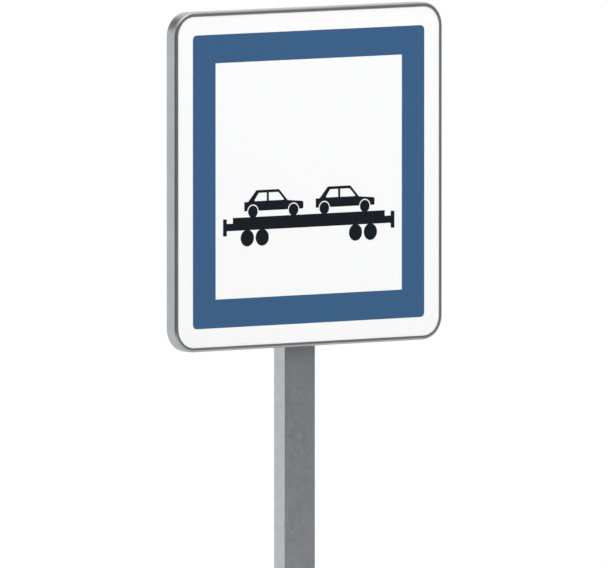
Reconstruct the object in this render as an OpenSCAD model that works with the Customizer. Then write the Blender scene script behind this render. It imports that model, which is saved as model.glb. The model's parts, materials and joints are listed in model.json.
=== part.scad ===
/* [Panel] */
// Width and height of the square panel, over its edge profile
panel_size = 700; // [680:10:900]
// Outer radius of the panel's corners
panel_corner_r = 50; // [45:1:80]
// Height of the panel's lower edge above the cut foot of the post
panel_lower_edge = 1400; // [1000:50:2200]
// Thickness of the aluminium face sheet
sheet_t = 1.5; // [1:0.25:2]
// Thickness of the white reflective film that covers the sheet
film_t = 0.3; // [0.2:0.05:0.5]
// Thickness of the coloured films laid over the white one
overlay_t = 0.2; // [0.1:0.05:0.4]

/* [Edge profile] */
// Depth of the edge profile, from its front lip to its back flange
profile_depth = 28; // [24:1:40]
// Wall of the extruded edge profile
profile_wall = 1.6; // [1.2:0.1:2]
// Outer radius of the shoulder between the side wall and the front lip
shoulder_r = 5; // [4:0.5:6]
// Width of the front lip, from the panel's outer edge
lip_w = 9; // [8:0.5:12]
// Width of the back flange, from the panel's outer edge
flange_w = 14; // [12:1:18]
// How far the front lip covers the edge of the face sheet
lip_cover = 3.5; // [2:0.5:3.5]
// Gap of the butt joint in the middle of the lower edge
butt_gap = 0.4; // [0.2:0.1:1]
// Length of the key that bridges the butt joint
key_len = 80; // [40:5:120]
// Thickness of that key
key_t = 3; // [2:0.5:5]

/* [Border] */
// Bare white margin between the panel's edge and the blue border
border_margin = 47.5; // [40:0.5:50]
// Width of the blue border
border_w = 59; // [40:1:59]
// Outer radius of the border's corners
border_corner_r = 10; // [4:1:20]

/* [Symbol] */
// Height of the wagon's deck line, measured down from the panel's centre
deck_drop = 77.2; // [60:0.2:100]
// Length of the wagon's deck
deck_len = 397; // [380:1:400]
// Thickness of the deck
deck_h = 26.6; // [20:0.2:30]
// Height of the coupling bars, which share the deck's lower edge
coupling_h = 15; // [10:0.5:20]
// Overall length of the wagon, over its buffer plates
wagon_len = 448; // [440:1:452]
// Width of a buffer plate, along the wagon
buffer_w = 9.6; // [6:0.2:12]
// Height of a buffer plate
buffer_h = 35; // [25:1:40]
// Drop of the buffer plates' upper edge below the deck line
buffer_drop = 2.1; // [0:0.1:5]
// Radius of the wagon's wheels
wagon_wheel_r = 17.2; // [14:0.2:18]
// Depth of the wagon's axles below the deck line
wagon_axle_drop = 42.8; // [40:0.2:44]
// Distance of the inner axles from the wagon's middle
inner_axle_x = 122; // [110:1:125]
// Distance of the outer axles from the wagon's middle
outer_axle_x = 161; // [160:1:170]
// Distance between the centres of the two cars
car_spacing = 186.5; // [180:0.5:200]
// Wheelbase of a car
car_wheelbase = 106; // [100:1:112]
// Radius of a car's wheels
car_wheel_r = 12.5; // [10:0.5:13]
// Height of a car's axles above the deck line
car_axle_h = 11; // [10:0.5:12]
// White gap between a wheel and the arch of the body
arch_gap = 2.4; // [2:0.1:3]

/* [Post] */
// Width of the post, across the sign
post_w = 80; // [60:5:100]
// Depth of the post, behind the sign
post_d = 40; // [40:5:60]
// Wall of the post
post_wall = 2; // [2:0.5:4]
// Outer corner radius of the post
post_r = 4; // [3:0.5:6]
// How far the top of the post stops below the panel's upper edge
post_stop = 100; // [60:5:105]
// Thickness of the cap's rim, on top of the post
cap_rim_t = 2; // [1.5:0.5:4]
// Height of the cap's low crown above its rim
cap_crown_h = 2.5; // [1:0.5:6]
// Depth of the cap's plug inside the post
cap_plug_h = 20; // [12:1:30]
// Wall of the cap's plug
cap_wall = 2; // [1.5:0.5:3]

/* [Rails] */
// Distance of each rail's centre from the panel's nearer edge
rail_inset = 150; // [130:5:200]
// Height of a rail, over its two wings
rail_h = 40; // [38:1:60]
// Wall of the channel and thickness of the wings
rail_wall = 2; // [1.5:0.5:3]
// Clear width of the channel that holds the bolt heads
channel_w = 14; // [13.5:0.5:15]
// Width of the slot in the back of the rail
slot_w = 9; // [8.5:0.5:10]
// Depth of the stiffening returns on the wings
wing_return = 5; // [3:0.5:8]
// How far a rail's ends stop short of the panel's edge
rail_end_gap = 3; // [2:0.5:4]

/* [Clamps] */
// Height of a clamp strap
clamp_h = 30; // [25:1:36]
// Thickness of a clamp strap
clamp_t = 3; // [2:0.5:4]
// Gap left between the clamp's feet and the rail when the clamp is tight
clamp_pull = 1.5; // [0.5:0.5:3]
// Play between the clamp's arms and the sides of the post
clamp_play = 0.25; // [0.1:0.05:1]
// Distance of a bolt from the side of the post
bolt_offset = 16.25; // [16:0.25:20]
// Distance from a bolt to the end of the clamp's foot
foot_end = 12.75; // [10:0.25:16]
// Outer radius of the feet's corners
foot_r = 6; // [3:1:8]

/* [Fasteners] */
// Thread diameter of the clamp bolts
bolt_d = 8; // [8:1:8]
// Length of a bolt, under its head
bolt_len = 20; // [20:1:30]
// Width across the flats of a bolt head or nut
hex_af = 13; // [12:0.5:13]
// Thickness of a bolt head
head_h = 5.3; // [5:0.1:6]
// Thickness of a nut
nut_h = 6.5; // [6:0.1:8]
// Outer diameter of a washer
washer_d = 16; // [14:0.5:17]
// Thickness of a washer
washer_t = 1.6; // [1:0.1:2]
// Shank diameter of a blind rivet
rivet_d = 4.8; // [4:0.1:5]
// Head diameter of a blind rivet
rivet_head_d = 9.5; // [8:0.1:10]
// Height of a rivet's domed head
rivet_head_h = 1.6; // [1:0.1:2]

/* [Hidden] */
$fn = 64;

// Facets of the arcs inside a hull
hull_fn = 32;

// How far a cutting solid stands proud of the face that it cuts
over = 1;

// Depth is counted back from the plane of the front lip, the post's axis lies at y = 0
post_front_depth = profile_depth + rail_wall;
front_y = -(post_front_depth + post_d / 2);
panel_mid_z = panel_lower_edge + panel_size / 2;
half_panel = panel_size / 2;

// Layers of the face, front to back
film_depth = profile_wall;
sheet_depth = film_depth + film_t;
sheet_back = sheet_depth + sheet_t;
sheet_inset = lip_w - lip_cover;
flange_depth = profile_depth - profile_wall;
rib_back = sheet_back + profile_wall;

// Symbol
border_size = panel_size - 2 * border_margin;
wagon_end = wagon_len / 2;
film_cut = 2 * wagon_len;

// Post and cap
post_len = panel_lower_edge + panel_size - post_stop;
post_inner_r = post_r - post_wall;
cap_fin_h = 1.2;
cap_fin_pitch = 5;
cap_fin_reach = 1.6;
cap_fin_count = 3;
cap_crown_inset = 5;
cap_crown_skin = 0.5;

// Rails
notch_play = 0.5;
rail_len = panel_size - 2 * rail_end_gap;
channel_len = panel_size - 2 * (flange_w + notch_play);
channel_outer = channel_w + 2 * rail_wall;
lower_rail_z = panel_lower_edge + rail_inset;
upper_rail_z = panel_lower_edge + panel_size - rail_inset;
rivet_inset = 8.5;
rivet_x = half_panel - rivet_inset;
rivet_z = (rail_h + channel_outer) / 4;
rivet_grip = profile_wall + rail_wall;
rivet_bulb_h = 4.5;
rivet_bulb_d = 7.2;
mandrel_d = 2.7;
mandrel_drop = 0.6;

// Clamps and their bolts
arm_x = post_w / 2 + clamp_play;
bend_r = 3;
foot_depth = post_front_depth + clamp_pull;
clamp_back = post_front_depth + post_d;
bolt_x = post_w / 2 + bolt_offset;
foot_x = bolt_x + foot_end;
bolt_hole_d = bolt_d + 1;
washer_depth = foot_depth + clamp_t;
nut_depth = washer_depth + washer_t;
head_depth = profile_depth - head_h;
hex_r = hex_af / sqrt(3);
chamfer_angle = 30;
thread_chamfer = 1;
washer_play = 0.4;

// Colours, as the photograph shows them
aluminium = "#AEAFB3";
rail_metal = "#A2A4A8";
galvanised = "#B4B5B9";
white = "#FFFFFF";
blue = "#3E6086";
black = "#1C232B";
steel = "#9A9CA0";
plastic = "#2B2D30";

// Flat shapes that several pieces share

module rounded_rect(w, h, r) {
    square([w - 2 * r, h], center = true);
    square([w, h - 2 * r], center = true);
    for (x = [-1, 1], y = [-1, 1])
        translate([x * (w / 2 - r), y * (h / 2 - r)])
            circle(r = r);
}

// A strip with one round end, from x = 0 to x = reach, lying on y = 0
module round_ended_strip(reach, t) {
    square([reach - t / 2, t]);
    translate([reach - t / 2, t / 2])
        circle(r = t / 2);
}

// The quarter of a ring that lies towards -x and -y of its centre
module quarter_ring(outer, wall) {
    intersection() {
        difference() {
            circle(r = outer);
            circle(r = outer - wall);
        }
        translate([-outer, -outer])
            square(outer);
    }
}

// Places flat work on the panel's front plane, x across, y up, z towards the viewer
module on_panel() {
    translate([0, front_y, panel_mid_z])
        rotate([90, 0, 0])
            children();
}

// A flat layer of the face: its front lies at the given depth
module face_layer(depth, t) {
    on_panel()
        translate([0, 0, -depth - t])
            linear_extrude(t)
                children();
}

// Turns an upright solid so that its axis points backwards from the given depth
module pointing_back(x, depth, z) {
    translate([x, front_y + depth, z])
        rotate([-90, 0, 0])
            children();
}

// Edge profile: one extrusion bent round four corners, closed by a butt joint

// Section, x inwards from the panel's outer edge and y backwards from its front plane
module profile_section() {
    translate([0, shoulder_r])
        square([profile_wall, profile_depth - shoulder_r]);
    translate([shoulder_r, shoulder_r])
        quarter_ring(shoulder_r, profile_wall);
    translate([shoulder_r, 0])
        round_ended_strip(lip_w - shoulder_r, profile_wall);
    translate([0, sheet_back])
        intersection() {
            round_ended_strip(lip_w, profile_wall);
            translate([profile_wall / 2, 0])
                square([lip_w, profile_wall]);
        }
    translate([0, flange_depth])
        round_ended_strip(flange_w, profile_wall);
}

// The section set at a distance from the bend's centre, front up
module profile_at(radius) {
    translate([radius, 0])
        rotate(180)
            profile_section();
}

module edge_profile() {
    straight = panel_size - 2 * panel_corner_r;
    corner = straight / 2;
    color(aluminium)
        difference() {
            on_panel()
                for (turn = [0:3])
                    rotate(90 * turn) {
                        rotate([90, 0, 0])
                            linear_extrude(straight, center = true)
                                profile_at(half_panel);
                        translate([corner, corner])
                            rotate_extrude(angle = 90)
                                profile_at(panel_corner_r);
                    }
            translate([-butt_gap / 2, front_y - over, panel_lower_edge - over])
                cube([butt_gap, profile_depth + 2 * over, flange_w + 2 * over]);
            for (z = [lower_rail_z, upper_rail_z])
                rail_rivet_holes(z);
        }
}

// A bar pushed tightly between the rib and the back flange, across the butt joint
module profile_joint_key() {
    color(rail_metal)
        translate([-key_len / 2, front_y + rib_back, panel_lower_edge + profile_wall])
            cube([key_len, flange_depth - rib_back, key_t]);
}

// Face: a sheet in the profile's groove, with its films

module sheet_outline() {
    size = panel_size - 2 * sheet_inset;
    rounded_rect(size, size, panel_corner_r - sheet_inset);
}

module face_sheet() {
    color(aluminium)
        face_layer(sheet_depth, sheet_t)
            sheet_outline();
}

module white_film() {
    color(white)
        face_layer(film_depth, film_t)
            sheet_outline();
}

module overlay_film() {
    face_layer(film_depth - overlay_t, overlay_t)
        children();
}

module blue_border_film() {
    color(blue)
        overlay_film()
            difference() {
                rounded_rect(border_size, border_size, border_corner_r);
                square(border_size - 2 * border_w, center = true);
            }
}

// Symbol, drawn with x from the panel's middle and y from the deck line

module on_deck_line() {
    translate([0, -deck_drop])
        children();
}

module wagon_outline() {
    translate([-deck_len / 2, -deck_h])
        square([deck_len, deck_h]);
    translate([-wagon_end, -deck_h])
        square([wagon_len, coupling_h]);
    for (side = [-1, 1]) {
        translate([side * (wagon_end - buffer_w / 2), -buffer_drop - buffer_h / 2])
            square([buffer_w, buffer_h], center = true);
        for (axle_x = [inner_axle_x, outer_axle_x])
            translate([side * axle_x, -wagon_axle_drop])
                circle(r = wagon_wheel_r);
    }
}

module wagon_symbol() {
    color(black)
        overlay_film()
            on_deck_line()
                wagon_outline();
}

// Side view of a small hatchback, x from the middle of its wheelbase, nose to the right
module car_body() {
    tail_x = -75.5;
    nose_x = 78.4;
    sill_y = 12.5;
    belt_y = 31.5;
    roof_y = 55;
    bonnet_r = 4;
    bumper_r = 3;
    bonnet_y = 28.4;
    polygon([
        [tail_x, sill_y],
        [nose_x - bumper_r, sill_y], [nose_x - bumper_r, sill_y + bumper_r], [nose_x, sill_y + bumper_r],
        [nose_x, bonnet_y - bonnet_r], [nose_x - bonnet_r, bonnet_y - bonnet_r], [nose_x - bonnet_r, bonnet_y],
        [37.5, belt_y], [15, roof_y], [-43.7, roof_y], [-65.5, belt_y], [tail_x, belt_y]
    ]);
    translate([nose_x - bonnet_r, bonnet_y - bonnet_r])
        circle(r = bonnet_r);
    translate([nose_x - bumper_r, sill_y + bumper_r])
        circle(r = bumper_r);
}

module car_windows() {
    frame_top = 49.3;
    frame_foot = 32.4;
    polygon([[-47.5, frame_foot], [-16.8, frame_foot], [-16.8, frame_top], [-37.8, frame_top], [-49, 34.5]]);
    polygon([[-11.4, frame_foot], [27, frame_foot], [27.6, 34.6], [13.4, frame_top], [-11.4, frame_top]]);
}

module car_outline() {
    difference() {
        car_body();
        car_windows();
        for (side = [-1, 1])
            translate([side * car_wheelbase / 2, car_axle_h])
                circle(r = car_wheel_r + arch_gap);
    }
    difference() {
        for (side = [-1, 1])
            translate([side * car_wheelbase / 2, car_axle_h])
                circle(r = car_wheel_r);
        translate([-film_cut / 2, -film_cut])
            square(film_cut);
    }
}

module car_symbol(side) {
    color(black)
        overlay_film()
            on_deck_line()
                translate([side * car_spacing / 2, 0])
                    car_outline();
}

module left_car_symbol() {
    car_symbol(-1);
}

module right_car_symbol() {
    car_symbol(1);
}

// Rails: extruded T-slot hats that lie on the sheet and over the back flange

// Section, x along the rail's height and y backwards from the panel's front plane
module rail_section() {
    wing_w = (rail_h - slot_w) / 2;
    for (side = [0, 1])
        mirror([side, 0]) {
            translate([slot_w / 2, profile_depth])
                round_ended_strip(wing_w, rail_wall);
            translate([rail_h / 2 - rail_wall, profile_depth - wing_return])
                square([rail_wall, wing_return + rail_wall / 2]);
            translate([channel_w / 2, sheet_back])
                square([rail_wall, profile_depth - sheet_back]);
        }
    translate([-channel_outer / 2, sheet_back])
        square([channel_outer, rail_wall]);
}

module rail(z) {
    difference() {
        translate([0, front_y, z])
            rotate([0, 90, 0])
                linear_extrude(rail_len, center = true)
                    rail_section();
        for (side = [-1, 1])
            translate([side * (channel_len + panel_size) / 2, front_y + profile_depth / 2, z])
                cube([panel_size, profile_depth, rail_h + 2 * over], center = true);
        rail_rivet_holes(z);
    }
}

module upper_rail() {
    color(rail_metal)
        rail(upper_rail_z);
}

module lower_rail() {
    color(rail_metal)
        rail(lower_rail_z);
}

// Blind rivets through the ends of a rail and the back flange

module at_rail_rivets(z) {
    for (x = [-rivet_x, rivet_x], rise = [-rivet_z, rivet_z])
        pointing_back(x, post_front_depth, z + rise)
            children();
}

module rail_rivet_holes(z) {
    at_rail_rivets(z)
        translate([0, 0, -rivet_grip - over])
            cylinder(d = rivet_d, h = rivet_grip + 2 * over);
}

// A set rivet, its head above z = 0 and its blind bulb below the grip
module blind_rivet() {
    dome_r = (pow(rivet_head_d / 2, 2) + pow(rivet_head_h, 2)) / (2 * rivet_head_h);
    difference() {
        union() {
            intersection() {
                translate([0, 0, rivet_head_h - dome_r])
                    sphere(r = dome_r);
                cylinder(d = rivet_head_d, h = rivet_head_h);
            }
            translate([0, 0, -rivet_grip])
                cylinder(d = rivet_d, h = rivet_grip);
            translate([0, 0, -rivet_grip - rivet_bulb_h])
                cylinder(d1 = rivet_d, d2 = rivet_bulb_d, h = rivet_bulb_h);
        }
        translate([0, 0, rivet_head_h - mandrel_drop])
            cylinder(d = mandrel_d, h = mandrel_drop + over);
    }
}

module upper_rail_rivets() {
    color(steel)
        at_rail_rivets(upper_rail_z)
            blind_rivet();
}

module lower_rail_rivets() {
    color(steel)
        at_rail_rivets(lower_rail_z)
            blind_rivet();
}

// Clamps: straps bent round the post, pulled onto it by bolts in the rail's slot

// Seen from above, x across and y backwards from the panel's front plane
module clamp_section() {
    corner_r = post_r + clamp_play;
    outer_w = 2 * (arm_x + clamp_t);
    bend_centre_x = arm_x + clamp_t + bend_r;
    bend_centre_y = foot_depth + clamp_t + bend_r;
    intersection() {
        difference() {
            translate([0, clamp_back + clamp_t - post_d / 2])
                rounded_rect(outer_w, post_d, corner_r + clamp_t);
            translate([0, clamp_back - post_d / 2])
                rounded_rect(2 * arm_x, post_d, corner_r);
        }
        translate([0, clamp_back])
            square([outer_w, 2 * (corner_r + clamp_t)], center = true);
    }
    for (side = [0, 1])
        mirror([side, 0]) {
            translate([arm_x, bend_centre_y])
                square([clamp_t, clamp_back - corner_r - bend_centre_y]);
            translate([bend_centre_x, bend_centre_y])
                quarter_ring(bend_r + clamp_t, clamp_t);
            translate([bend_centre_x, foot_depth])
                square([foot_x - bend_centre_x, clamp_t]);
        }
}

module clamp(z) {
    difference() {
        translate([0, front_y, z])
            intersection() {
                linear_extrude(clamp_h, center = true)
                    clamp_section();
                rotate([-90, 0, 0])
                    linear_extrude(clamp_back + clamp_t)
                        rounded_rect(2 * foot_x, clamp_h, foot_r);
            }
        for (side = [-1, 1])
            pointing_back(side * bolt_x, foot_depth - over, z)
                cylinder(d = bolt_hole_d, h = clamp_t + 2 * over);
    }
}

module upper_clamp() {
    color(galvanised)
        clamp(upper_rail_z);
}

module lower_clamp() {
    color(galvanised)
        clamp(lower_rail_z);
}

// Bolts, washers and nuts

// A hexagonal prism with its edges cut back by a shallow cone at one or both ends
module chamfered_hex(h, both_ends) {
    end_r = hex_af / 2 - 0.1;
    wide_r = end_r + h / tan(chamfer_angle);
    intersection() {
        cylinder(r = hex_r, h = h, $fn = 6);
        cylinder(r1 = end_r, r2 = wide_r, h = h);
        if (both_ends)
            cylinder(r1 = wide_r, r2 = end_r, h = h);
    }
}

// The head's washer face bears on the rail's wings, its hexagon can't turn in the channel
module clamp_bolt(side, z) {
    color(steel)
        pointing_back(side * bolt_x, head_depth, z) {
            chamfered_hex(head_h, false);
            translate([0, 0, head_h])
                cylinder(d = bolt_d, h = bolt_len - thread_chamfer);
            translate([0, 0, head_h + bolt_len - thread_chamfer])
                cylinder(d1 = bolt_d, d2 = bolt_d - 2 * thread_chamfer, h = thread_chamfer);
        }
}

module clamp_washer(side, z) {
    color(steel)
        pointing_back(side * bolt_x, washer_depth, z)
            difference() {
                cylinder(d = washer_d, h = washer_t);
                translate([0, 0, -over])
                    cylinder(d = bolt_d + washer_play, h = washer_t + 2 * over);
            }
}

module clamp_nut(side, z) {
    color(steel)
        pointing_back(side * bolt_x, nut_depth, z)
            difference() {
                chamfered_hex(nut_h, true);
                translate([0, 0, -over])
                    cylinder(d = bolt_d, h = nut_h + 2 * over);
            }
}

module upper_left_bolt() {
    clamp_bolt(-1, upper_rail_z);
}

module upper_right_bolt() {
    clamp_bolt(1, upper_rail_z);
}

module lower_left_bolt() {
    clamp_bolt(-1, lower_rail_z);
}

module lower_right_bolt() {
    clamp_bolt(1, lower_rail_z);
}

module upper_left_washer() {
    clamp_washer(-1, upper_rail_z);
}

module upper_right_washer() {
    clamp_washer(1, upper_rail_z);
}

module lower_left_washer() {
    clamp_washer(-1, lower_rail_z);
}

module lower_right_washer() {
    clamp_washer(1, lower_rail_z);
}

module upper_left_nut() {
    clamp_nut(-1, upper_rail_z);
}

module upper_right_nut() {
    clamp_nut(1, upper_rail_z);
}

module lower_left_nut() {
    clamp_nut(-1, lower_rail_z);
}

module lower_right_nut() {
    clamp_nut(1, lower_rail_z);
}

// Post and cap

module post() {
    color(galvanised)
        linear_extrude(post_len)
            difference() {
                rounded_rect(post_w, post_d, post_r);
                rounded_rect(post_w - 2 * post_wall, post_d - 2 * post_wall, post_inner_r);
            }
}

// A moulded cap: a rim with a low crown on the post, a ribbed plug inside it
module post_cap() {
    inner_w = post_w - 2 * post_wall;
    inner_d = post_d - 2 * post_wall;
    plug_w = inner_w - 2 * cap_fin_reach;
    plug_d = inner_d - 2 * cap_fin_reach;
    crown_w = post_w - 2 * cap_crown_inset;
    crown_d = post_d - 2 * cap_crown_inset;
    color(plastic)
        translate([0, 0, post_len]) {
            linear_extrude(cap_rim_t)
                rounded_rect(post_w, post_d, post_r);
            hull() {
                translate([0, 0, cap_rim_t - cap_crown_skin])
                    linear_extrude(cap_crown_skin)
                        rounded_rect(post_w, post_d, post_r, $fn = hull_fn);
                translate([0, 0, cap_rim_t + cap_crown_h - cap_crown_skin])
                    linear_extrude(cap_crown_skin)
                        rounded_rect(crown_w, crown_d, post_r, $fn = hull_fn);
            }
            translate([0, 0, -cap_plug_h])
                linear_extrude(cap_plug_h)
                    difference() {
                        rounded_rect(plug_w, plug_d, post_inner_r);
                        rounded_rect(plug_w - 2 * cap_wall, plug_d - 2 * cap_wall, post_inner_r / 2);
                    }
            for (fin = [1:cap_fin_count])
                translate([0, 0, -fin * cap_fin_pitch])
                    linear_extrude(cap_fin_h)
                        difference() {
                            rounded_rect(inner_w, inner_d, post_inner_r);
                            rounded_rect(plug_w - cap_wall, plug_d - cap_wall, post_inner_r);
                        }
        }
}

post();
post_cap();
edge_profile();
profile_joint_key();
face_sheet();
white_film();
blue_border_film();
wagon_symbol();
left_car_symbol();
right_car_symbol();
upper_rail();
lower_rail();
upper_rail_rivets();
lower_rail_rivets();
upper_clamp();
lower_clamp();
upper_left_bolt();
upper_right_bolt();
lower_left_bolt();
lower_right_bolt();
upper_left_washer();
upper_right_washer();
lower_left_washer();
lower_right_washer();
upper_left_nut();
upper_right_nut();
lower_left_nut();
lower_right_nut();
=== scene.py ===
"""Looks of a square road information sign on its rectangular post.

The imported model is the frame. This script gives each of its pieces a finish, builds the threaded bolts
and the broken rivet pins in detail, and sets up the photograph's camera, the floor and a soft studio.
"""

import json
import math

import bmesh
import bpy
from mathutils import Matrix, Vector


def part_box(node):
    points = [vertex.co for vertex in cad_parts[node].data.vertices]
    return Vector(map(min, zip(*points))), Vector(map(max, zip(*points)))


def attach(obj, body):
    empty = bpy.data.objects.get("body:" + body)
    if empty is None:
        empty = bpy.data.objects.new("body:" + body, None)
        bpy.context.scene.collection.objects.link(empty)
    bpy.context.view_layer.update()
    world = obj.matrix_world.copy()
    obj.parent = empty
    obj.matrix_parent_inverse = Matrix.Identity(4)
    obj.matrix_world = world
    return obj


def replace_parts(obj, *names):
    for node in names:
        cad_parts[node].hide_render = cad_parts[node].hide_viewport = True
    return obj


MM = 0.001
PANEL_CORNER_R = 50 * MM

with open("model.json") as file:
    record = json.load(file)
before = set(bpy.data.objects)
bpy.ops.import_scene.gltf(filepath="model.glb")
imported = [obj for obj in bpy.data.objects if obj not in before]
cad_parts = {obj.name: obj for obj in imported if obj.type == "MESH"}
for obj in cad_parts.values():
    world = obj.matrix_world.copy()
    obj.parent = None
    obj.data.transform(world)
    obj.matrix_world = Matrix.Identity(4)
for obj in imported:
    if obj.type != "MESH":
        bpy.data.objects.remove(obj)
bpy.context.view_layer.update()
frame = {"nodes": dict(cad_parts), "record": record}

# Camera, as measured in the photograph

PHOTO_WIDTH = 608
PHOTO_HEIGHT = 568
PIXELS_PER_METRE = 485
# The pixel where the middle of the sign's front plane lies
SIGN_MIDDLE_U = 309.4
SIGN_MIDDLE_V = 176.8
VIEW_AZIMUTH = math.radians(-37.95)
VIEW_ELEVATION = math.radians(3.97)
# The photograph has hardly any perspective, so the lens is very long
LENS = 1560
SENSOR = 36
NEAREST_SEEN = 1
FURTHEST_SEEN = 200


def place_camera():
    """Aims at the middle of the sign's front, so that it lies at its pixel of the photograph."""
    face_low, face_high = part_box("edge_profile")
    aim = Vector(((face_low.x + face_high.x) / 2, face_low.y, (face_low.z + face_high.z) / 2))
    back = Vector((
        math.sin(VIEW_AZIMUTH) * math.cos(VIEW_ELEVATION),
        -math.cos(VIEW_AZIMUTH) * math.cos(VIEW_ELEVATION),
        math.sin(VIEW_ELEVATION),
    ))
    turn = back.to_track_quat("Z", "Y")
    off_middle = Vector((PHOTO_WIDTH / 2 - SIGN_MIDDLE_U, SIGN_MIDDLE_V - PHOTO_HEIGHT / 2, 0))
    aim += turn @ off_middle / PIXELS_PER_METRE
    lens = bpy.data.cameras.new("camera")
    lens.lens = LENS
    lens.sensor_width = SENSOR
    lens.clip_start = NEAREST_SEEN
    lens.clip_end = FURTHEST_SEEN
    camera = bpy.data.objects.new("camera", lens)
    camera.rotation_mode = "QUATERNION"
    camera.rotation_quaternion = turn
    camera.location = aim + back * PHOTO_WIDTH / PIXELS_PER_METRE * LENS / SENSOR
    bpy.context.scene.collection.objects.link(camera)
    bpy.context.scene.camera = camera


place_camera()

# Material helpers


def linear(hex_colour):
    """A colour written as sRGB hex, as the linear values that the shaders take."""
    parts = [int(hex_colour[i : i + 2], 16) / 255 for i in (1, 3, 5)]
    return [c / 12.92 if c <= 0.04045 else ((c + 0.055) / 1.055) ** 2.4 for c in parts] + [1]


def named_socket(sockets, name):
    """A socket by its identifier, which tells the sockets of a mix apart, or else by its name."""
    return next((s for s in sockets if s.identifier == name), None) or sockets[name]


def add(tree, kind, inputs=None, **settings):
    """Adds a shader node. An input is a value, or a (node, output name) pair that is linked to it."""
    made = tree.nodes.new(kind)
    for name, value in settings.items():
        setattr(made, name, value)
    for name, value in (inputs or {}).items():
        target = made.inputs[name] if isinstance(name, int) else named_socket(made.inputs, name)
        if isinstance(value, tuple) and isinstance(value[0], bpy.types.Node):
            tree.links.new(named_socket(value[0].outputs, value[1]), target)
        else:
            target.default_value = value
    return made


def per_mm(*sizes_mm):
    """The scale of a pattern whose features are this many millimetres long, in x, y and z."""
    scales = [1 / (size * MM) for size in sizes_mm]
    return scales[0] if len(scales) == 1 else scales


def new_material(name):
    """An empty material. Returns it with its node tree and the place of a point on the object."""
    material = bpy.data.materials.new(name)
    material.use_nodes = True
    tree = material.node_tree
    tree.nodes.clear()
    return material, tree, (add(tree, "ShaderNodeTexCoord"), "Object")


def surface(tree, colour, roughness, height, relief_mm, **settings):
    """The shader of a surface, with a relief of this many millimetres."""
    bump = add(tree, "ShaderNodeBump", {"Height": height, "Distance": relief_mm * MM})
    return add(tree, "ShaderNodeBsdfPrincipled", {
        "Base Color": colour, "Roughness": roughness, "Normal": (bump, "Normal"),
        **{name.replace("_", " "): value for name, value in settings.items()},
    })


def finish(tree, *look, **settings):
    """Ends a material in one surface."""
    add(tree, "ShaderNodeOutputMaterial", {"Surface": (surface(tree, *look, **settings), "BSDF")})


# Finishes of the metal pieces


def galvanised_steel(name, light, dark, spangle_mm):
    """Hot-dip galvanised steel: zinc crystals some millimetres wide that each catch the light a little
    differently, over a fine unevenness of the frozen zinc. A thin matt patina dulls the metal."""
    material, tree, place = new_material(name)
    wander = add(tree, "ShaderNodeTexNoise", {"Vector": place, "Scale": per_mm(2 * spangle_mm), "Detail": 2})
    shift = add(tree, "ShaderNodeVectorMath", {
        0: (wander, "Color"), "Scale": spangle_mm * MM,
    }, operation="SCALE")
    bent = add(tree, "ShaderNodeVectorMath", {0: place, 1: (shift, "Vector")}, operation="ADD")
    crystals = add(tree, "ShaderNodeTexVoronoi", {"Vector": (bent, "Vector"), "Scale": per_mm(spangle_mm)})
    tone = add(tree, "ShaderNodeSeparateColor", {"Color": (crystals, "Color")})
    colour = add(tree, "ShaderNodeMix", {
        "Factor_Float": (tone, "Red"), "A_Color": linear(light), "B_Color": linear(dark),
    }, data_type="RGBA")
    roughness = add(tree, "ShaderNodeMapRange", {"Value": (tone, "Green"), "To Min": 0.4, "To Max": 0.48})
    zinc = add(tree, "ShaderNodeTexNoise", {"Vector": place, "Scale": per_mm(3), "Detail": 3})
    finish(tree, (colour, "Result_Color"), (roughness, "Result"), (zinc, "Fac"), 0.04, Metallic=0.88)
    return material


def extruded_aluminium(name, light, dark, line_mm, roughest, bent_round_panel):
    """Aluminium pressed through a die, which leaves fine straight lines along its whole length.
    On the edge profile they follow its bends round the panel's corners."""
    material, tree, place = new_material(name)
    if bent_round_panel:
        low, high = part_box("edge_profile")
        middle = (low + high) / 2
        straight = (high.x - low.x) / 2 - PANEL_CORNER_R
        centred = add(tree, "ShaderNodeVectorMath", {
            0: place, 1: (middle.x, 0, middle.z),
        }, operation="SUBTRACT")
        folded = add(tree, "ShaderNodeVectorMath", {0: (centred, "Vector")}, operation="ABSOLUTE")
        past = add(tree, "ShaderNodeVectorMath", {
            0: (folded, "Vector"), 1: (straight, 1, straight),
        }, operation="SUBTRACT")
        corner = add(tree, "ShaderNodeVectorMath", {0: (past, "Vector"), 1: (0, 0, 0)}, operation="MAXIMUM")
        ring = add(tree, "ShaderNodeVectorMath", {0: (corner, "Vector")}, operation="LENGTH")
        parts = add(tree, "ShaderNodeSeparateXYZ", {"Vector": place})
        across = (add(tree, "ShaderNodeCombineXYZ", {"Y": (parts, "Y"), "Z": (ring, "Value")}), "Vector")
    else:
        across = place
    squeezed = add(tree, "ShaderNodeVectorMath", {
        0: across, 1: per_mm(600, line_mm, line_mm),
    }, operation="MULTIPLY")
    lines = add(tree, "ShaderNodeTexNoise", {"Vector": (squeezed, "Vector"), "Scale": 1, "Detail": 3})
    patches = add(tree, "ShaderNodeTexNoise", {"Vector": place, "Scale": per_mm(45), "Detail": 2})
    share = add(tree, "ShaderNodeMath", {0: (lines, "Fac"), 1: (patches, "Fac")}, operation="MULTIPLY")
    tone = add(tree, "ShaderNodeMapRange", {"Value": (share, "Value"), "From Min": 0.1, "From Max": 0.4})
    colour = add(tree, "ShaderNodeMix", {
        "Factor_Float": (tone, "Result"), "A_Color": linear(light), "B_Color": linear(dark),
    }, data_type="RGBA")
    roughness = add(tree, "ShaderNodeMapRange", {
        "Value": (lines, "Fac"), "From Min": 0.3, "From Max": 0.7,
        "To Min": roughest - 0.08, "To Max": roughest,
    })
    finish(tree, (colour, "Result_Color"), (roughness, "Result"), (lines, "Fac"), 0.012, Metallic=0.85)
    return material


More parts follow.
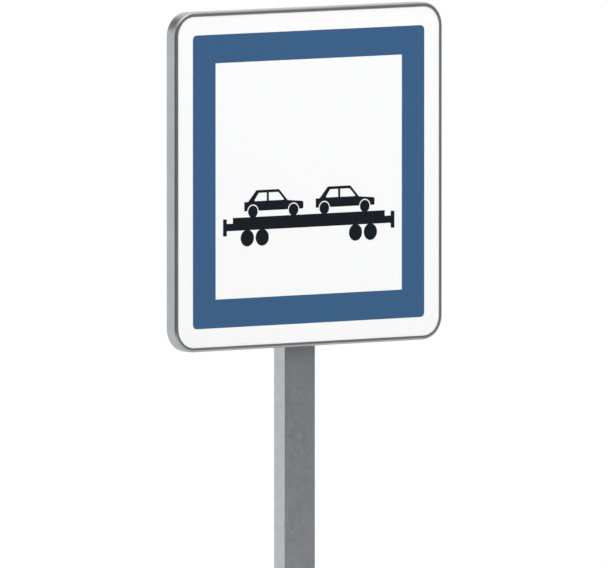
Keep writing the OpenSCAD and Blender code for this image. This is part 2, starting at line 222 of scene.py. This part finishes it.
def rolled_sheet(name):
    """Mill-finish aluminium sheet, seen from behind: the rolls leave short streaks along the sheet, and
    handling leaves duller patches."""
    material, tree, place = new_material(name)
    squeezed = add(tree, "ShaderNodeVectorMath", {0: place, 1: per_mm(60, 60, 0.9)}, operation="MULTIPLY")
    streaks = add(tree, "ShaderNodeTexNoise", {"Vector": (squeezed, "Vector"), "Scale": 1, "Detail": 4})
    patches = add(tree, "ShaderNodeTexNoise", {"Vector": place, "Scale": per_mm(90), "Detail": 4})
    colour = add(tree, "ShaderNodeMix", {
        "Factor_Float": (streaks, "Fac"), "A_Color": linear("#C9CACD"), "B_Color": linear("#B7B8BB"),
    }, data_type="RGBA")
    roughness = add(tree, "ShaderNodeMapRange", {
        "Value": (patches, "Fac"), "From Min": 0.3, "From Max": 0.7, "To Min": 0.28, "To Max": 0.42,
    })
    finish(tree, (colour, "Result_Color"), (roughness, "Result"), (streaks, "Fac"), 0.01, Metallic=1)
    return material


def turned_metal(name, light, dark, roughest):
    """A small metal part from a bar or a blank: fine scratches and slightly uneven gloss."""
    material, tree, place = new_material(name)
    scratches = add(tree, "ShaderNodeTexNoise", {"Vector": place, "Scale": per_mm(0.7), "Detail": 3})
    colour = add(tree, "ShaderNodeMix", {
        "Factor_Float": (scratches, "Fac"), "A_Color": linear(light), "B_Color": linear(dark),
    }, data_type="RGBA")
    roughness = add(tree, "ShaderNodeMapRange", {
        "Value": (scratches, "Fac"), "To Min": roughest - 0.15, "To Max": roughest,
    })
    finish(tree, (colour, "Result_Color"), (roughness, "Result"), (scratches, "Fac"), 0.01, Metallic=1)
    return material


# Finishes of the face and the cap


def reflective_film(name, colour, cell_colour, gloss):
    """Retroreflective sheeting: a smooth clear top over rows of tiny prisms, sealed to the sheet along a
    lattice of diamonds. The real cells are about 4 mm wide, and are drawn 6 mm wide so that they show."""
    material, tree, place = new_material(name)
    turned = add(tree, "ShaderNodeMapping", {"Vector": place, "Rotation": (0, math.radians(45), 0)})
    flat = add(tree, "ShaderNodeVectorMath", {0: (turned, "Vector"), 1: (1, 0, 1)}, operation="MULTIPLY")
    cells = add(tree, "ShaderNodeTexVoronoi", {
        "Vector": (flat, "Vector"), "Scale": per_mm(6), "Randomness": 0,
    }, feature="DISTANCE_TO_EDGE")
    seal = add(tree, "ShaderNodeMapRange", {
        "Value": (cells, "Distance"), "From Max": 0.09, "To Min": 1, "To Max": 0,
    })
    mixed = add(tree, "ShaderNodeMix", {
        "Factor_Float": (seal, "Result"), "A_Color": linear(colour), "B_Color": linear(cell_colour),
    }, data_type="RGBA")
    patches = add(tree, "ShaderNodeTexNoise", {"Vector": place, "Scale": per_mm(30), "Detail": 3})
    roughness = add(tree, "ShaderNodeMapRange", {
        "Value": (patches, "Fac"), "To Min": gloss, "To Max": gloss + 0.08,
    })
    look = (mixed, "Result_Color"), (roughness, "Result"), (seal, "Result"), 0.004
    finish(tree, *look, Specular_IOR_Level=0.5)
    return material


def opaque_film(name, colour, worn_colour):
    """Cast vinyl film: an even, half-gloss black with the faint orange peel of the sheet under it."""
    material, tree, place = new_material(name)
    dust = add(tree, "ShaderNodeTexNoise", {"Vector": place, "Scale": per_mm(25), "Detail": 5})
    mixed = add(tree, "ShaderNodeMix", {
        "Factor_Float": (dust, "Fac"), "A_Color": linear(colour), "B_Color": linear(worn_colour),
    }, data_type="RGBA")
    roughness = add(tree, "ShaderNodeMapRange", {"Value": (dust, "Fac"), "To Min": 0.34, "To Max": 0.46})
    peel = add(tree, "ShaderNodeTexNoise", {"Vector": place, "Scale": per_mm(1.6), "Detail": 1})
    finish(tree, (mixed, "Result_Color"), (roughness, "Result"), (peel, "Fac"), 0.01, Specular_IOR_Level=0.25)
    return material


def moulded_plastic(name, colour, faded_colour):
    """Polyethylene from an eroded mould: a fine matt grain, a little faded by the sun."""
    material, tree, place = new_material(name)
    fading = add(tree, "ShaderNodeTexNoise", {"Vector": place, "Scale": per_mm(18), "Detail": 3})
    mixed = add(tree, "ShaderNodeMix", {
        "Factor_Float": (fading, "Fac"), "A_Color": linear(colour), "B_Color": linear(faded_colour),
    }, data_type="RGBA")
    grain = add(tree, "ShaderNodeTexNoise", {"Vector": place, "Scale": per_mm(0.8), "Detail": 2})
    finish(tree, (mixed, "Result_Color"), 0.48, (grain, "Fac"), 0.03)
    return material


FINISHES = {
    "post_zinc": galvanised_steel("galvanised_post_steel", "#C5C6CA", "#BEBFC3", 9),
    "clamp_zinc": galvanised_steel("galvanised_strap_steel", "#B7B8BC", "#A6A7AB", 5),
    "profile_aluminium": extruded_aluminium(
        "anodised_profile_aluminium", "#B9BABE", "#AFB0B4", 1.1, 0.35, True),
    "sheet_aluminium": rolled_sheet("mill_finish_sheet_aluminium"),
    "rail_aluminium": extruded_aluminium(
        "mill_finish_rail_aluminium", "#BEBFC2", "#ABACB0", 1.4, 0.36, False),
    "rivet_aluminium": turned_metal("rivet_aluminium", "#C9CACC", "#BCBDC0", 0.42),
    "white_film": reflective_film("white_retroreflective_film", "#F6F6F6", "#F0F0F1", 0.3),
    "blue_film": reflective_film("blue_retroreflective_film", "#345C84", "#2F557D", 0.3),
    "black_film": opaque_film("black_vinyl_film", "#10171F", "#131A22"),
    "fastener_steel": turned_metal("stainless_fastener_steel", "#BDBCBA", "#A9A8A6", 0.38),
    "cap_plastic": moulded_plastic("moulded_cap_polyethylene", "#232528", "#2B2D31"),
}

for subpart in frame["record"]["subparts"]:
    slots = frame["nodes"][subpart["node"]].data.materials
    slots.clear()
    slots.append(FINISHES[subpart["material_slot"]])

# Sheared, sawn and pressed edges are never razor sharp

BROKEN_EDGES = {
    "upper_clamp": 0.5 * MM,
    "lower_clamp": 0.5 * MM,
    "upper_rail": 0.2 * MM,
    "lower_rail": 0.2 * MM,
    "post": 0.3 * MM,
    "post_cap": 0.3 * MM,
    "profile_joint_key": 0.3 * MM,
}
SHARPEST_BEND = math.radians(35)


def break_edges(node, width):
    """Rounds the sharp edges of a node by this width, and leaves its bends as they are."""
    piece = frame["nodes"][node]
    facets = piece.modifiers.new("joined_facets", "WELD")
    facets.merge_threshold = MM / 1000
    edges = piece.modifiers.new("broken_edges", "BEVEL")
    edges.width = width
    edges.segments = 2
    edges.limit_method = "ANGLE"
    edges.angle_limit = SHARPEST_BEND
    piece.modifiers.new("even_shading", "WEIGHTED_NORMAL").keep_sharp = True


for node, width in BROKEN_EDGES.items():
    break_edges(node, width)

# Threaded bolts, which stand for the plain ones

BOLT_SIDES = 48
BOLT_R = 4 * MM
THREAD_ROOT_R = 3.32 * MM
THREAD_PITCH = 1.25 * MM
BOLT_NECK_R = 3.6 * MM
BOLT_TIP_R = 3 * MM
HEAD_FLATS = 13 * MM
HEAD_END_R = 6.4 * MM
HEAD_H = 5.3 * MM
HEAD_CHAMFER = math.tan(math.radians(30))
# One pitch of the thread, as places along the bolt and radii: a narrow crest and a wider root
THREAD_FORM = [(0, BOLT_R), (0.16 * MM, BOLT_R), (0.55 * MM, THREAD_ROOT_R), (0.86 * MM, THREAD_ROOT_R)]


def turned_point(angle, radius, along):
    return Vector((radius * math.cos(angle), radius * math.sin(angle), along))


def join_rings(shape, rings):
    for inner, outer in zip(rings, rings[1:]):
        for i in range(len(inner)):
            following = (i + 1) % len(inner)
            shape.faces.new((inner[i], inner[following], outer[following], outer[i]))


def hex_radius(angle):
    """Distance from the axis to a hexagon's side, in this direction."""
    sixth = math.pi / 3
    return HEAD_FLATS / 2 / math.cos((angle + sixth / 2) % sixth - sixth / 2)


def threaded_bolt_mesh(length):
    """A hexagon bolt along z: its head ends at z = 0 in a chamfer, its thread ends in a cone."""
    shape = bmesh.new()
    angles = [2 * math.pi * i / BOLT_SIDES for i in range(BOLT_SIDES)]
    flats = [hex_radius(angle) for angle in angles]
    rings = [
        [shape.verts.new(turned_point(a, HEAD_END_R, 0)) for a in angles],
        [shape.verts.new(turned_point(a, r, (r - HEAD_END_R) * HEAD_CHAMFER)) for a, r in zip(angles, flats)],
        [shape.verts.new(turned_point(a, r, HEAD_H)) for a, r in zip(angles, flats)],
        [shape.verts.new(turned_point(a, BOLT_NECK_R, HEAD_H)) for a in angles],
    ]
    join_rings(shape, rings)
    shape.faces.new(reversed(rings[0]))
    shape.faces.new([shape.verts.new(turned_point(a, BOLT_TIP_R, length)) for a in angles])

    # The thread is one helical strip. Its ends are pressed flat on the head and on the bolt's tip.
    turns = math.ceil((length - HEAD_H) / THREAD_PITCH) + 2
    strip = []
    for step in range(turns * BOLT_SIDES + 1):
        base = HEAD_H + THREAD_PITCH * (step / BOLT_SIDES - 1)
        column = []
        for offset, radius in THREAD_FORM:
            along = min(max(base + offset, HEAD_H), length)
            radius = min(radius, BOLT_TIP_R + length - along, BOLT_NECK_R + along - HEAD_H)
            column.append(shape.verts.new(turned_point(angles[step % BOLT_SIDES], radius, along)))
        strip.append(column)
    for step in range(len(strip) - 1):
        here, following = strip[step], strip[step + 1]
        if step + BOLT_SIDES + 1 < len(strip):
            here = here + strip[step + BOLT_SIDES][:1]
            following = following + strip[step + BOLT_SIDES + 1][:1]
        for i in range(len(here) - 1):
            shape.faces.new((here[i], following[i], following[i + 1], here[i + 1]))
    bmesh.ops.remove_doubles(shape, verts=shape.verts, dist=MM / 500)
    bmesh.ops.recalc_face_normals(shape, faces=shape.faces)
    mesh = bpy.data.meshes.new("threaded_bolt")
    shape.to_mesh(mesh)
    shape.free()
    return mesh


def add_piece(name, mesh, slot):
    mesh.materials.append(FINISHES[slot])
    piece = bpy.data.objects.new(name, mesh)
    bpy.context.scene.collection.objects.link(piece)
    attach(piece, "root")
    return piece


def pointing_back(x, y, z):
    """Turns an axis from +z to +y, away from the reader, and moves it to a point."""
    return Matrix.Translation((x, y, z)) @ Matrix.Rotation(math.radians(-90), 4, "X")


for level in ("upper", "lower"):
    for side in ("left", "right"):
        plain_bolt = f"{level}_{side}_bolt"
        low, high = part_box(plain_bolt)
        middle = (low + high) / 2
        threaded = threaded_bolt_mesh(high.y - low.y)
        threaded.transform(pointing_back(middle.x, low.y, middle.z))
        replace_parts(add_piece(f"{level}_{side}_threaded_bolt", threaded, "fastener_steel"), plain_bolt)

# The broken pins that setting leaves in the heads of the blind rivets

PIN_SIDES = 24
PIN_R = 1.2 * MM
RIVET_HEAD_R = 4.75 * MM
# How far a pin's seat lies below the highest place of the domed head
PIN_SEAT_DEPTH = 0.48 * MM
# The pin from its seat to the middle of its torn end, as radii and heights
PIN_FORM = [(PIN_R, 0), (PIN_R, 0.2 * MM), (0.85 * PIN_R, 0.3 * MM), (0.4 * PIN_R, 0.24 * MM)]
PIN_TEAR = 0.06 * MM


def rivet_pins_mesh(places):
    """One torn pin at each place, pointing away from the reader."""
    shape = bmesh.new()
    for number, place in enumerate(places):
        seat = pointing_back(*place)
        rings = []
        for radius, height in PIN_FORM:
            ring = []
            for i in range(PIN_SIDES):
                angle = 2 * math.pi * i / PIN_SIDES
                tear = PIN_TEAR * math.sin(3 * angle + number) if radius < PIN_R else 0
                ring.append(shape.verts.new(seat @ turned_point(angle, radius, height + tear)))
            rings.append(ring)
        join_rings(shape, rings)
        shape.faces.new(reversed(rings[0]))
        shape.faces.new(rings[-1])
    bmesh.ops.recalc_face_normals(shape, faces=shape.faces)
    mesh = bpy.data.meshes.new("rivet_pins")
    shape.to_mesh(mesh)
    shape.free()
    return mesh


for level in ("upper", "lower"):
    low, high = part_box(f"{level}_rail_rivets")
    seats = [
        (x, high.y - PIN_SEAT_DEPTH, z)
        for x in (low.x + RIVET_HEAD_R, high.x - RIVET_HEAD_R)
        for z in (low.z + RIVET_HEAD_R, high.z - RIVET_HEAD_R)
    ]
    add_piece(f"{level}_rivet_pins", rivet_pins_mesh(seats), "fastener_steel")

# Studio

ROOM_WHITE = "#FFFFFF"
ROOM_GREY_RIGHT = "#69696C"
ROOM_GREY_LEFT = "#28282A"
ROOM_SCREEN = "#707072"
# Where the dark screen stands, as a direction from the sign: behind it, up on its left
SCREEN_DIRECTION = (-0.27, 0.77, 0.57)
FILL_LIGHT = 0.63
# Each is a pair of values of a direction's x, y or z, between which one tone changes to the other
GREY_RIGHTWARD = -0.9, 0.5
WHITE_BEHIND = -0.35, 0.1
WHITE_OVERHEAD = 0.5, 0.8
# The same for how closely a direction agrees with the screen's
SCREEN_EDGE = 0.88, 0.97

SIGN_MIDDLE = (0, 0, 1.7)
KEY_PLACE = (1.7, -6.4, 6.2)
KEY_WIDTH = 4.9
KEY_POWER = 232
# The metal sees only part of the key light's strength, or its polished bends would burn out
KEY_POWER_IN_METAL = 95
OVERHEAD_PLACE = (0, -1.7, 5.3)
OVERHEAD_WIDTH = 3.7
OVERHEAD_POWER = 36

FLOOR_R = 3.2
FLOOR_COLOUR = "#F0F0F0"
# Between these distances from the foot, the floor fades to the white of the backdrop
FLOOR_FADE = FLOOR_R / 5, FLOOR_R * 0.75


def ramp(between, value):
    """The inputs of a map range that rises from 0 to 1 between two values."""
    return {"Value": value, "From Min": between[0], "From Max": between[1]}


def studio_world():
    """White all round for the camera. The metal sees a white backdrop behind the sign and white overhead,
    a darker room in front, and a small dark screen behind. Matt surfaces get an even light all round."""
    world = bpy.data.worlds.new("studio")
    bpy.context.scene.world = world
    world.use_nodes = True
    tree = world.node_tree
    tree.nodes.clear()
    direction = add(tree, "ShaderNodeTexCoord")
    parts = add(tree, "ShaderNodeSeparateXYZ", {"Vector": (direction, "Generated")})
    behind = add(tree, "ShaderNodeMapRange", ramp(WHITE_BEHIND, (parts, "Y")))
    rightward = add(tree, "ShaderNodeMapRange", ramp(GREY_RIGHTWARD, (parts, "X")))
    overhead = add(tree, "ShaderNodeMapRange", ramp(WHITE_OVERHEAD, (parts, "Z")))
    whiter = add(tree, "ShaderNodeMath", {
        0: (behind, "Result"), 1: (overhead, "Result"),
    }, operation="MAXIMUM")
    towards = add(tree, "ShaderNodeVectorMath", {
        0: (direction, "Generated"), 1: SCREEN_DIRECTION,
    }, operation="DOT_PRODUCT")
    screened = add(tree, "ShaderNodeMapRange", ramp(SCREEN_EDGE, (towards, "Value")))
    front = add(tree, "ShaderNodeMix", {
        "Factor_Float": (rightward, "Result"),
        "A_Color": linear(ROOM_GREY_LEFT), "B_Color": linear(ROOM_GREY_RIGHT),
    }, data_type="RGBA")
    walls = add(tree, "ShaderNodeMix", {
        "Factor_Float": (whiter, "Value"), "A_Color": (front, "Result_Color"), "B_Color": linear(ROOM_WHITE),
    }, data_type="RGBA")
    room_colour = add(tree, "ShaderNodeMix", {
        "Factor_Float": (screened, "Result"),
        "A_Color": (walls, "Result_Color"), "B_Color": linear(ROOM_SCREEN),
    }, data_type="RGBA")
    room = add(tree, "ShaderNodeBackground", {"Color": (room_colour, "Result_Color")})
    white = add(tree, "ShaderNodeBackground", {"Color": linear(ROOM_WHITE)})
    fill = add(tree, "ShaderNodeBackground", {"Color": linear(ROOM_WHITE), "Strength": FILL_LIGHT})
    path = add(tree, "ShaderNodeLightPath")
    mirrored = add(tree, "ShaderNodeMath", {
        0: (path, "Is Glossy Ray"), 1: (path, "Is Transmission Ray"),
    }, operation="MAXIMUM")
    lit = add(tree, "ShaderNodeMixShader", {
        0: (mirrored, "Value"), 1: (fill, "Background"), 2: (room, "Background"),
    })
    shown = add(tree, "ShaderNodeMixShader", {
        0: (path, "Is Camera Ray"), 1: (lit, "Shader"), 2: (white, "Background"),
    })
    add(tree, "ShaderNodeOutputWorld", {"Surface": (shown, "Shader")})


def soft_lamp(name, place, width, power, mirrored):
    """A round soft lamp that faces the sign. Glossy surfaces show it only if it is mirrored."""
    light = bpy.data.lights.new(name, "AREA")
    light.shape = "DISK"
    light.size = width
    light.energy = power
    lamp = bpy.data.objects.new(name, light)
    lamp.location = place
    lamp.rotation_mode = "QUATERNION"
    lamp.rotation_quaternion = (Vector(place) - Vector(SIGN_MIDDLE)).to_track_quat("Z", "Y")
    lamp.visible_glossy = mirrored
    bpy.context.scene.collection.objects.link(lamp)


def pale_floor():
    """A disc of matt paint that fades to the backdrop's white, for the camera and for the metal."""
    mesh = bpy.data.meshes.new("floor")
    shape = bmesh.new()
    bmesh.ops.create_circle(shape, cap_ends=True, segments=96, radius=FLOOR_R)
    shape.to_mesh(mesh)
    shape.free()
    material, tree, place = new_material("pale_floor_paint")
    grit = add(tree, "ShaderNodeTexNoise", {"Vector": place, "Scale": per_mm(40), "Detail": 4})
    paint = surface(tree, linear(FLOOR_COLOUR), 0.9, (grit, "Fac"), 0.2)
    from_foot = add(tree, "ShaderNodeVectorMath", {0: place}, operation="LENGTH")
    fade = add(
        tree, "ShaderNodeMapRange", ramp(FLOOR_FADE, (from_foot, "Value")), interpolation_type="SMOOTHSTEP")
    path = add(tree, "ShaderNodeLightPath")
    seen = add(tree, "ShaderNodeMath", {
        0: (path, "Is Camera Ray"), 1: (path, "Is Glossy Ray"),
    }, operation="MAXIMUM")
    share = add(tree, "ShaderNodeMath", {0: (fade, "Result"), 1: (seen, "Value")}, operation="MULTIPLY")
    glow = add(tree, "ShaderNodeEmission", {"Color": linear(ROOM_WHITE)})
    faded = add(tree, "ShaderNodeMixShader", {0: (share, "Value"), 1: (paint, "BSDF"), 2: (glow, "Emission")})
    add(tree, "ShaderNodeOutputMaterial", {"Surface": (faded, "Shader")})
    mesh.materials.append(material)
    floor = bpy.data.objects.new("floor", mesh)
    bpy.context.scene.collection.objects.link(floor)


studio_world()
pale_floor()
soft_lamp("key_light", KEY_PLACE, KEY_WIDTH, KEY_POWER, False)
soft_lamp("key_light_in_metal", KEY_PLACE, KEY_WIDTH, KEY_POWER_IN_METAL, True)
soft_lamp("overhead_light", OVERHEAD_PLACE, OVERHEAD_WIDTH, OVERHEAD_POWER, True)

bpy.context.scene.view_settings.view_transform = "Standard"
